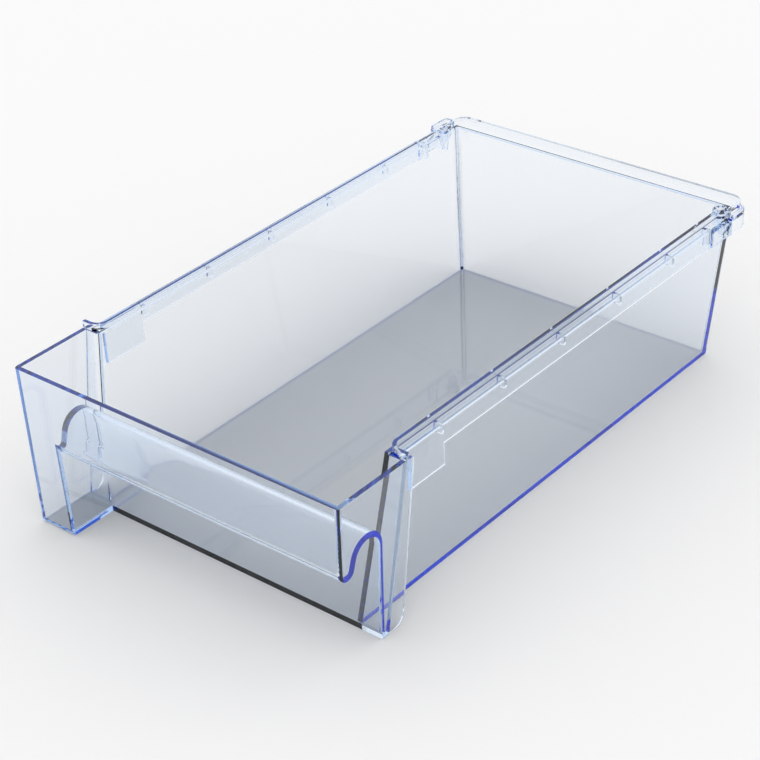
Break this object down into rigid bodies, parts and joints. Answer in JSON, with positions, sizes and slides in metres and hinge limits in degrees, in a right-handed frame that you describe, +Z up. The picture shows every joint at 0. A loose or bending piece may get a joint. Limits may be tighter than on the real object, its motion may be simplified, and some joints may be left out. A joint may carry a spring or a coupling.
{
  "type": "freezer drawer",
  "caption": "Clear tinted one-piece freezer drawer: deep drafted bin, wider front with a moulded S-curve finger grip, and hung side rails with rear stops.",
  "frame": {"origin": "bottom centre of the whole drawer's box", "axes": "+X to the right seen from the front, +Y from the front face to the rear flange, +Z up"},
  "size_m": [0.2538, 0.4266, 0.1145],
  "materials": {
    "clear_plastic": "clear, glossy, pale blue tint"
  },
  "bodies": {
    "root": {"drawer": "clear_plastic"}
  },
  "joints": []
}
